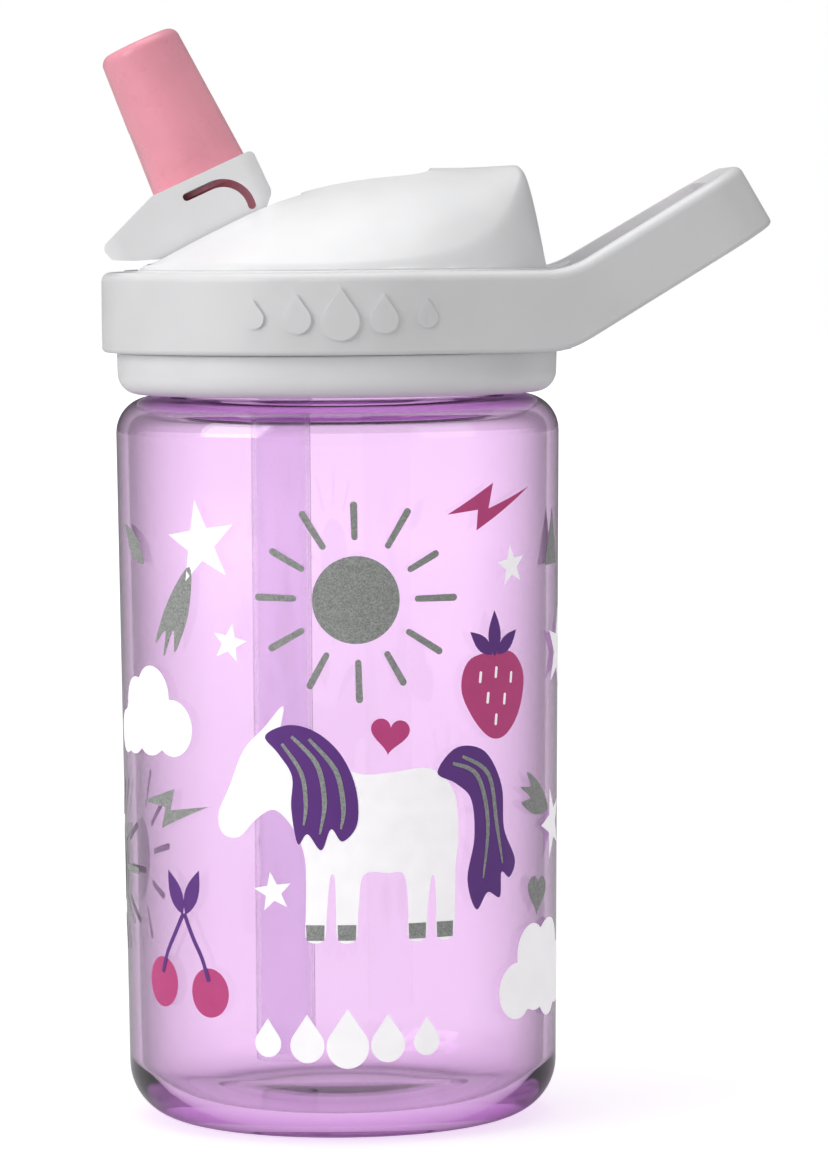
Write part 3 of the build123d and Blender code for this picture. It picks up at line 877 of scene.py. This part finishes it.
class BOTTLE_OT_studio(bpy.types.Operator):
    """Make the floor, the soft lights and the camera."""

    bl_idname = "bottle.studio"
    bl_label = "Studio"

    def execute(self, context):
        scene = context.scene
        studio = scene.studio
        scene.view_settings.view_transform = "Standard"
        world = bpy.data.worlds.new("studio_sky")
        world.use_nodes = True
        tree = world.node_tree
        background = tree.nodes["Background"]
        background.inputs["Color"].default_value = (1, 1, 1, 1)
        rays = tree.nodes.new("ShaderNodeLightPath")
        mirrored = ranged(
            tree, rays.outputs["Is Glossy Ray"], studio.sky, studio.mirrored_sky, 0.0, 1.0
        )
        straight = tree.nodes.new("ShaderNodeMix")
        seen = either(tree, rays.outputs["Is Camera Ray"], rays.outputs["Is Transmission Ray"])
        tree.links.new(seen, straight.inputs["Factor"])
        tree.links.new(mirrored, straight.inputs["A"])
        straight.inputs["B"].default_value = studio.backdrop
        tree.links.new(straight.outputs["Result"], background.inputs["Strength"])
        scene.world = world
        bm = bmesh.new()
        bmesh.ops.create_grid(bm, x_segments=12, y_segments=12, size=6.0)
        floor = object_from_bmesh("studio_floor", bm)
        material, tree, shader, _ = new_material("floor_paper")
        tree.links.new(
            mixed(tree, noise_node(tree, 6.0), (0.58, 0.58, 0.58), (0.61, 0.61, 0.61)),
            shader.inputs["Base Color"],
        )
        shader.inputs["Roughness"].default_value = 0.9
        rays = tree.nodes.new("ShaderNodeLightPath")
        shader.inputs["Emission Color"].default_value = (1, 1, 1, 1)
        tree.links.new(
            self.floor_glow(tree, seen_directly(tree, rays), studio),
            shader.inputs["Emission Strength"],
        )
        floor.data.materials.append(material)
        self.add_softbox("softbox_left", (-1.15, -0.7, 0.62), 0.9, studio.key)
        self.add_softbox("softbox_right", (1.0, -0.6, 0.45), 0.7, studio.key * 0.12)
        self.add_softbox("softbox_top", (-0.15, 0.05, 1.25), 1.0, studio.key * 0.75)
        self.add_camera(scene, studio)
        return {"FINISHED"}

    def floor_glow(self, tree, seen, studio):
        """The floor's glow, which rises away from the bottle as the lamps fall off."""
        place = tree.nodes.new("ShaderNodeNewGeometry")
        away = tree.nodes.new("ShaderNodeVectorMath")
        away.operation = "LENGTH"
        tree.links.new(place.outputs["Position"], away.inputs[0])
        glow = ranged(
            tree, away.outputs["Value"], studio.floor_glow, studio.far_glow,
            studio.glow_from, studio.glow_to,
        )
        lit = tree.nodes.new("ShaderNodeMath")
        lit.operation = "MULTIPLY"
        tree.links.new(glow, lit.inputs[0])
        tree.links.new(seen, lit.inputs[1])
        return lit.outputs[0]

    def add_softbox(self, name, place, size, power):
        """A square area light that looks at the bottle."""
        light = bpy.data.lights.new(name, "AREA")
        light.shape = "SQUARE"
        light.size = size
        light.energy = power
        obj = bpy.data.objects.new(name, light)
        obj.location = place
        obj.rotation_euler = (Vector((0, 0, 0.09)) - obj.location).to_track_quat("-Z", "Y").to_euler()
        bpy.context.scene.collection.objects.link(obj)

    def add_camera(self, scene, studio):
        """The camera, a little above the cap's ledge and far off with a long lens."""
        data = bpy.data.cameras.new("studio_camera")
        data.lens = studio.lens
        data.dof.use_dof = False
        camera = bpy.data.objects.new("studio_camera", data)
        camera.location = studio.camera_place
        sight = Vector(studio.camera_target) - camera.location
        aim = sight.to_track_quat("-Z", "Y").to_matrix().to_4x4()
        roll = Matrix.Rotation(studio.camera_roll, 4, "Z")
        camera.rotation_euler = (aim @ roll).to_euler()
        scene.collection.objects.link(camera)
        scene.camera = camera


class BOTTLE_OT_body(bpy.types.Operator):
    """Make the clear bottle with its threaded neck."""

    bl_idname = "bottle.body"
    bl_label = "Bottle body"

    def execute(self, context):
        s = context.scene.bottle_sizes
        neck_top = BODY_HIGH.z
        corners = [
            (0, s.foot_recess, 0),
            (s.foot_radius - 0.003, s.foot_recess, 0.002),
            (s.foot_radius, 0, 0.001),
            (s.base_radius, 0, s.base_rounding),
            (s.top_radius, s.shoulder_height, s.shoulder_rounding),
            (s.neck_radius, s.shoulder_height, 0.0005),
            (s.neck_radius, neck_top, 0.0005),
            (s.neck_bore, neck_top, 0.0005),
            (s.neck_bore, s.shoulder_height - s.wall, 0.0015),
            (s.top_radius - s.wall, s.shoulder_height - s.wall, s.shoulder_rounding - s.wall),
            (s.base_radius - s.wall, s.floor, s.base_rounding - s.wall),
            (s.foot_radius, s.floor, 0.006),
            (0, s.floor + s.foot_recess, 0),
        ]
        line = rounded_line(corners, radians(6))
        line = self.divide_neck(line, s)
        bm = turned_bmesh(line, s.segments, self.thread_on(s))
        body = object_from_bmesh("bottle_shell", bm)
        finish_piece(body, material_for("bottle_plastic"), "bottle")
        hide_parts("bottle_body")
        return {"FINISHED"}

    def divide_neck(self, line, s):
        """Fine rows on the neck's outside, for the thread, and coarse ones elsewhere."""
        divided = [line[0]]
        for a, b in zip(line, line[1:]):
            on_neck = min(a.y, b.y) > s.shoulder_height - 1e-6 and min(a.x, b.x) > s.neck_radius - 1e-6
            longest = 0.0003 if on_neck and abs(a.x - b.x) < 1e-6 else 0.006
            divided += divide_line([a, b], longest)[1:]
        return divided

    def thread_on(self, s):
        """How far the neck's outside stands out at an angle and height."""
        half_root = 0.00115
        half_crest = 0.0005
        last = 2 * pi * s.thread_turns
        fade = 0.35

        def radius_at(radius, height, angle):
            if abs(radius - s.neck_radius) > 1e-6 or height < s.shoulder_height:
                return radius
            best = 0.0
            for turn in range(int(s.thread_turns) + 1):
                along = angle + 2 * pi * turn
                if along > last:
                    continue
                middle = s.thread_start + s.thread_pitch * along / (2 * pi)
                slope = (half_root - abs(height - middle)) / (half_root - half_crest)
                end = min(1.0, along / fade, (last - along) / fade)
                best = max(best, min(1.0, max(0.0, slope)) * end)
            return radius + s.thread_depth * best

        return radius_at


class BOTTLE_OT_dome(bpy.types.Operator):
    """Make the domed cover with the channel that the folded spout lies in."""

    bl_idname = "bottle.dome"
    bl_label = "Domed cover"

    def execute(self, context):
        s = context.scene.dome_sizes
        outside = self.block("dome_outside", s, 0.0)
        inside = self.block("dome_inside", s, s.wall)
        hollow = cut_away("dome_hollow", inside, self.channel_cutter(s, s.channel_wall))
        shell = cut_away("dome_walls", outside, hollow)
        dome = cut_away("dome_shell", shell, self.channel_cutter(s, 0.0))
        finish_piece(dome, material_for("cap_plastic"), "cap")
        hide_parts("dome_cover")
        return {"FINISHED"}

    def block(self, name, s, inset):
        """The closed dome, or the same dome smaller by a wall and let down through its foot."""
        ridge = self.ridge_line(s)
        reach = s.radius - inset
        low = s.foot_height - (s.foot_overlap if inset else 0.0)
        radii = [reach * 0.8 * i / 16 for i in range(1, 17)]
        radii += [reach * (0.8 + 0.2 * i / 34) for i in range(1, 35)]
        bm = bmesh.new()
        centre = bm.verts.new((0, 0, self.height(0, 0, ridge, s) - inset))
        foot = bm.verts.new((0, 0, low))
        rings = []
        for radius in radii:
            ring = []
            for i in range(s.segments):
                angle = 2 * pi * i / s.segments
                x, y = radius * cos(angle), radius * sin(angle)
                top = max(s.foot_height + 0.0002, self.height(x, y, ridge, s) - inset)
                ring.append(bm.verts.new((x, y, top)))
            rings.append(ring)
        rings.append([bm.verts.new((v.co.x, v.co.y, low)) for v in rings[-1]])
        for i in range(s.segments):
            j = (i + 1) % s.segments
            bm.faces.new((centre, rings[0][i], rings[0][j]))
            bm.faces.new((foot, rings[-1][j], rings[-1][i]))
            for inner, outer in zip(rings, rings[1:]):
                bm.faces.new((inner[i], outer[i], outer[j], inner[j]))
        return object_from_bmesh(name, bm)

    def ridge_line(self, s):
        """The dome's middle line as dense (x, z) points."""
        knots = [Vector(k) * MM for k in (
            (-38.0, 137.2), (-30.4, 141.1), (-21.4, 146.1), (-10.3, 151.4), (0.0, 154.3),
            (12.0, 155.9), (22.0, 156.1), (31.0, 156.5), (40.0, 156.8),
        )]
        line = []
        for i in range(1, len(knots) - 2):
            p = knots[i - 1:i + 3]
            for k in range(16):
                line.append(spline_point(p, k / 16))
        return line + [knots[-2]]

    def height(self, x, y, ridge, s):
        """The dome's height over a point of the cap's plate."""
        if x <= ridge[0].x:
            crest = ridge[0].y
        else:
            crest = ridge[-1].y
            for a, b in zip(ridge, ridge[1:]):
                if a.x <= x < b.x:
                    crest = a.y + (b.y - a.y) * (x - a.x) / (b.x - a.x)
                    break
        low = s.foot_height
        half = sqrt(s.radius ** 2 - (s.squeeze * min(abs(x), s.radius)) ** 2)
        crown = crest - (crest - low) * (abs(y) / half) ** s.crown
        back = low + (s.back_low - x) * (s.back_rise / (s.back_low - s.back_high))
        wall = low + (s.radius - hypot(x, y)) * s.wall_slope + 0.0006
        top = soft_least(soft_least(crown, back, s.rounding), wall, s.rounding)
        return max(low + 0.0002, top)

    def channel_cutter(self, s, grow):
        """The block that cuts the channel, or one bigger all round by its wall."""
        front, back = s.channel_front + grow, s.channel_back + grow
        step, end = s.channel_step + grow, s.channel_end + grow
        corners = [
            (-0.05, -front, 0), (step, -front, 0.0008), (step, -back, 0.0008),
            (end, -back, back * 0.5), (end, back, back * 0.5), (step, back, 0.0008),
            (step, front, 0.0008), (-0.05, front, 0),
        ]
        outline = rounded_line(corners, radians(8))
        bm = bmesh.new()
        lower = [bm.verts.new((p.x, p.y, s.foot_height - 0.01)) for p in outline]
        upper = [bm.verts.new((p.x, p.y, s.foot_height + 0.04)) for p in outline]
        bm.faces.new(lower[::-1])
        bm.faces.new(upper)
        for i in range(len(outline)):
            j = (i + 1) % len(outline)
            bm.faces.new((lower[i], lower[j], upper[j], upper[i]))
        return object_from_bmesh("channel_cutter", bm)


class BOTTLE_OT_sky_prints(bpy.types.Operator):
    """Print the sun, the stars, the clouds, the bolts and the hearts."""

    bl_idname = "bottle.sky_prints"
    bl_label = "Sky prints"

    def execute(self, context):
        white = material_for("ink_white")
        silver = material_for("ink_silver")
        magenta = material_for("ink_magenta")
        sun = self.sun_outlines(2.1, 87.5, 7.0, (10.0, 15.6))
        printed_piece("print_sun", sun, 0, silver)
        far_sun = self.sun_outlines(-60.0, 42.0, 7.0, (10.0, 15.6))
        printed_piece("print_far_sun", far_sun, 0, silver)
        stars = [
            placed(star_outline(3.4), 30.8, 92.0, 0.12),
            placed(star_outline(3.2), -18.9, 80.5, -0.2),
            placed(star_outline(3.3), -11.8, 40.8, 0.15),
        ]
        printed_piece("print_small_stars", stars, 0, white)
        shooting = [
            placed(star_outline(7.0, 0.40), -24.2, 96.3, 0.15),
            placed(star_outline(7.0, 0.40), 50.5, 77.1, -0.2),
            placed(star_outline(6.0, 0.42), 46.8, 48.8, 0.3),
        ]
        printed_piece("print_big_stars", shooting, 0, white)
        tails = [
            self.tail_outline((-26.5, 92.5), (-33.6, 79.0)),
            self.tail_outline((43.8, 51.5), (34.6, 56.5)),
        ]
        printed_piece("print_star_tails", tails, 0, silver)
        clouds = [
            cloud_outline([
                (-37.5, 67.0, 5.6), (-43.8, 65.8, 4.6), (-37.0, 71.0, 5.0),
                (-31.2, 66.2, 4.6), (-48.0, 64.6, 3.6), (-42.5, 69.5, 4.4),
            ]),
            cloud_outline([
                (38.5, 25.0, 6.0), (32.6, 22.8, 4.6), (37.5, 28.5, 4.8),
                (44.5, 27.5, 6.0), (50.0, 23.8, 5.0), (44.0, 22.0, 4.5),
            ]),
        ]
        printed_piece("print_clouds", clouds, 0, white)
        bolt = [(17.3, 100.7), (26.4, 105.5), (25.4, 101.4), (35.4, 104.5), (22.9, 98.0),
                (23.2, 101.3)]
        printed_piece("print_bolt", [bolt], 0, magenta)
        dark_bolt = [(-40.3, 53.8), (-31.0, 56.4), (-32.1, 52.9), (-23.4, 54.0), (-34.6, 49.8),
                     (-33.4, 53.3)]
        printed_piece("print_dark_bolt", [dark_bolt], 0, silver)
        printed_piece("print_heart", [placed(heart_outline(6.4), 7.4, 66.0, -0.12)], 0,
                      magenta)
        printed_piece("print_dark_heart", [placed(heart_outline(7.0), 39.3, 38.2, -0.1)], 0,
                      silver)
        side_leaves = [
            leaf_outline((-38.5, 92.4), (-46.5, 98.6), 3.6),
            placed([(-3.4, -3.6), (3.6, -3.6), (0.4, 5.6)], 45.2, 95.0),
        ]
        printed_piece("print_side_shapes", side_leaves, 0, silver)
        return {"FINISHED"}

    def sun_outlines(self, x, z, radius, reach):
        """A disc with twelve rays."""
        outlines = [placed(disc_outline(radius), x, z)]
        for i in range(12):
            angle = pi * i / 6 + 0.03 * sin(5 * i)
            ray = Vector((cos(angle), sin(angle)))
            middle = Vector((x, z))
            grow = 1.0 + 0.06 * sin(3 * i + 1)
            outlines.append(
                bar_outline(middle + ray * reach[0], middle + ray * reach[1] * grow, 1.0, 1.15)
            )
        return outlines

    def tail_outline(self, start, end):
        """Three streaks that run together behind a star."""
        a, b = Vector(start), Vector(end)
        run = b - a
        side = Vector((-run.y, run.x)).normalized()
        width = 3.1
        return smooth_loop([
            a, a + run * 0.45 + side * width, a + run * 0.92 + side * width * 1.05,
            a + run * 0.72 + side * width * 0.42, a + run * 1.06 + side * 0.35 * width,
            a + run * 0.80 - side * width * 0.12, a + run * 1.0 - side * width * 0.62,
            a + run * 0.5 - side * width * 0.62,
        ], 5)


class BOTTLE_OT_pony_print(bpy.types.Operator):
    """Print the pony."""

    bl_idname = "bottle.pony_print"
    bl_label = "Pony print"

    def execute(self, context):
        body = smooth_loop([
            (-10.2, 65.6), (-9.7, 70.6), (-12.9, 67.2), (-16.6, 63.4), (-19.3, 57.4),
            (-21.4, 53.0), (-20.6, 49.9), (-17.6, 49.5), (-14.6, 52.4), (-11.4, 54.0),
            (-8.4, 51.2), (-6.6, 47.0), (-6.3, 42.4), (-6.4, 37.6), (-6.3, 33.2),
            (-3.5, 33.2), (-3.0, 37.6), (-2.4, 43.3), (-1.7, 43.0), (-1.5, 38.0),
            (-1.2, 33.2), (1.6, 33.2), (2.1, 38.2), (3.0, 43.6), (7.0, 43.8),
            (9.6, 43.4), (10.3, 38.0), (10.4, 33.2), (13.2, 33.2), (13.6, 38.0),
            (14.3, 42.8), (14.9, 42.4), (15.2, 38.0), (15.3, 33.2), (18.1, 33.2),
            (18.6, 38.6), (18.7, 44.0), (19.3, 50.0), (18.3, 56.6), (14.0, 60.3),
            (7.6, 59.9), (2.4, 59.8), (-2.2, 62.2), (-6.2, 65.0),
        ], 5)
        printed_piece("print_pony", [body], 0, material_for("ink_white"))
        mane = smooth_loop([
            (-12.8, 65.8), (-9.0, 67.6), (-4.6, 66.6), (-0.6, 63.0), (1.8, 57.6), (2.0, 51.8),
            (-0.4, 49.0), (-2.2, 51.0), (-3.8, 47.6), (-6.0, 50.2), (-7.6, 48.6), (-8.6, 54.4),
            (-8.4, 59.4), (-10.6, 63.0),
        ], 6)
        tail = smooth_loop([
            (15.4, 59.6), (19.0, 63.4), (24.6, 62.4), (28.4, 56.6), (29.0, 49.6), (31.8, 44.4),
            (30.4, 41.6), (28.4, 42.6), (28.0, 38.6), (25.2, 39.6), (22.8, 37.0), (21.0, 42.0),
            (22.4, 48.6), (21.8, 54.8), (18.8, 57.6),
        ], 6)
        printed_piece("print_pony_hair", [mane, tail], 1, material_for("ink_purple"))
        thick, thin = [0.5, 0.8, 0.8, 0.3], [0.5, 0.7, 0.7, 0.3]
        strands = [
            stroke_outline([(-8.4, 65.8), (-4.4, 61.4), (-3.2, 55.4), (-4.0, 50.2)], thick),
            stroke_outline([(-5.6, 65.4), (-1.4, 60.4), (-0.2, 54.6), (-0.6, 51.0)], thick),
            stroke_outline([(-10.0, 64.6), (-6.9, 60.0), (-6.2, 55.0), (-6.6, 51.6)], thin),
            stroke_outline([(18.2, 60.9), (23.0, 58.6), (25.2, 51.0), (24.2, 42.0)], thick),
            stroke_outline([(20.0, 61.9), (25.4, 58.6), (27.2, 50.4), (28.6, 44.0)], thick),
        ]
        hooves = [
            [(x - 1.42, 33.1), (x + 1.42, 33.1), (x + 1.5, 35.6), (x - 1.5, 35.6)]
            for x in (-4.9, 0.2, 11.8, 16.7)
        ]
        silver = material_for("ink_silver")
        printed_piece("print_pony_strands", strands, 2, silver)
        printed_piece("print_pony_hooves", hooves, 1, silver)
        return {"FINISHED"}


class BOTTLE_OT_fruit_prints(bpy.types.Operator):
    """Print the strawberry and the cherries."""

    bl_idname = "bottle.fruit_prints"
    bl_label = "Fruit prints"

    def execute(self, context):
        magenta = material_for("ink_magenta")
        purple = material_for("ink_purple")
        berry = smooth_loop([
            (26.8, 78.4), (31.4, 77.8), (34.2, 74.0), (33.0, 68.6), (29.6, 64.9), (26.0, 64.5),
            (22.4, 67.6), (19.9, 72.6), (21.4, 77.2),
        ], 8)
        cherries = [
            placed(disc_outline(3.9, 1.05), -34.9, 24.8),
            placed(disc_outline(3.8, 1.05), -23.8, 23.9),
        ]
        printed_piece("print_fruit", [berry] + cherries, 0, magenta)
        leaves = [
            leaf_outline((26.8, 77.6), (26.7, 85.0), 2.8),
            leaf_outline((26.2, 77.9), (21.6, 81.8), 2.4),
            leaf_outline((27.4, 77.9), (32.0, 81.6), 2.4),
            leaf_outline((-29.4, 36.2), (-32.9, 43.2), 3.0),
            leaf_outline((-28.8, 36.2), (-25.6, 43.6), 3.0),
        ]
        stem_widths = [0.8, 0.8, 0.75, 0.7]
        right_stem = [(-29.0, 36.4), (-27.2, 32.8), (-25.2, 29.4), (-23.9, 25.8)]
        left_stem = [(-29.2, 36.4), (-31.2, 33.2), (-33.4, 29.8), (-34.9, 26.4)]
        printed_piece("print_leaves", leaves, 1, purple)
        for name, stem in (("print_stems", right_stem), ("print_stems_left", left_stem)):
            printed_piece(name, [stroke_outline(stem, stem_widths)], 2, purple)
        seeds = []
        for x, z in ((23.6, 74.4), (27.0, 75.0), (30.6, 74.0), (25.2, 71.0), (29.0, 70.6), (27.0, 67.4)):
            seeds.append(bar_outline((x, z - 0.7), (x + 0.15, z + 0.7), 0.5, 0.5))
        printed_piece("print_seeds", seeds, 1, material_for("ink_white"))
        return {"FINISHED"}


class BOTTLE_OT_drop_prints(bpy.types.Operator):
    """Print the row of drops near the foot."""

    bl_idname = "bottle.drop_prints"
    bl_label = "Drop prints"

    def execute(self, context):
        heights = (6.2, 7.8, 9.6, 7.8, 6.2)
        step = 6.6
        drops = []
        for i, height in enumerate(heights):
            x = 0.2 + (i - 2) * step
            drops.append(placed(drop_outline(height), x, 17.3))
        printed_piece("print_drops", drops, 0, material_for("ink_white"))
        return {"FINISHED"}


class BOTTLE_OT_cap_finish(bpy.types.Operator):
    """Finish the cap and the ring with its loop in satin white plastic."""

    bl_idname = "bottle.cap_finish"
    bl_label = "Cap and ring"

    def execute(self, context):
        dress_node("cap_base", "cap_plastic")
        dress_node("handle_ring", "ring_plastic")
        return {"FINISHED"}


class BOTTLE_OT_spout_finish(bpy.types.Operator):
    """Finish the spout's housing, stem and bite valve."""

    bl_idname = "bottle.spout_finish"
    bl_label = "Spout"

    def execute(self, context):
        dress_node("spout_housing", "cap_plastic")
        dress_node("spout_stem", "stem_plastic")
        dress_node("bite_valve", "valve_silicone")
        return {"FINISHED"}


class BOTTLE_OT_inner_finish(bpy.types.Operator):
    """Finish the straw, the seals and the vent."""

    bl_idname = "bottle.inner_finish"
    bl_label = "Straw and seals"

    def execute(self, context):
        dress_node("straw", "straw_plastic")
        for node in ("cap_gasket", "barrel_seal", "vent_valve"):
            dress_node(node, "seal_silicone")
        return {"FINISHED"}


OPERATORS = (
    BOTTLE_OT_studio,
    BOTTLE_OT_body,
    BOTTLE_OT_dome,
    BOTTLE_OT_sky_prints,
    BOTTLE_OT_pony_print,
    BOTTLE_OT_fruit_prints,
    BOTTLE_OT_drop_prints,
    BOTTLE_OT_cap_finish,
    BOTTLE_OT_spout_finish,
    BOTTLE_OT_inner_finish,
)


class BOTTLE_PT_panel(bpy.types.Panel):
    """Lists the steps that build the bottle's looks."""

    bl_idname = "BOTTLE_PT_panel"
    bl_label = "Kids water bottle"
    bl_space_type = "VIEW_3D"
    bl_region_type = "UI"
    bl_category = "Bottle"

    def draw(self, context):
        for operator in OPERATORS:
            self.layout.operator(operator.bl_idname)
        for group, _ in SETTINGS:
            settings = getattr(context.scene, group)
            for name in settings.__annotations__:
                self.layout.prop(settings, name)


SETTINGS = (
    ("bottle_sizes", BottleSizes),
    ("dome_sizes", DomeSizes),
    ("print_sizes", PrintSizes),
    ("bottle_colours", Colours),
    ("studio", StudioSettings),
)


def register():
    """Register every class and hang the settings on the scene."""
    for name, group in SETTINGS:
        bpy.utils.register_class(group)
        setattr(bpy.types.Scene, name, PointerProperty(type=group))
    for operator in OPERATORS:
        bpy.utils.register_class(operator)
    bpy.utils.register_class(BOTTLE_PT_panel)


def unregister():
    """Take everything back that register added."""
    bpy.utils.unregister_class(BOTTLE_PT_panel)
    for operator in reversed(OPERATORS):
        bpy.utils.unregister_class(operator)
    for name, group in reversed(SETTINGS):
        delattr(bpy.types.Scene, name)
        bpy.utils.unregister_class(group)


def main():
    """Build everything in order."""
    register()
    bpy.ops.bottle.studio()
    bpy.ops.bottle.body()
    bpy.ops.bottle.dome()
    bpy.ops.bottle.sky_prints()
    bpy.ops.bottle.pony_print()
    bpy.ops.bottle.fruit_prints()
    bpy.ops.bottle.drop_prints()
    bpy.ops.bottle.cap_finish()
    bpy.ops.bottle.spout_finish()
    bpy.ops.bottle.inner_finish()


if __name__ == "__main__":
    main()
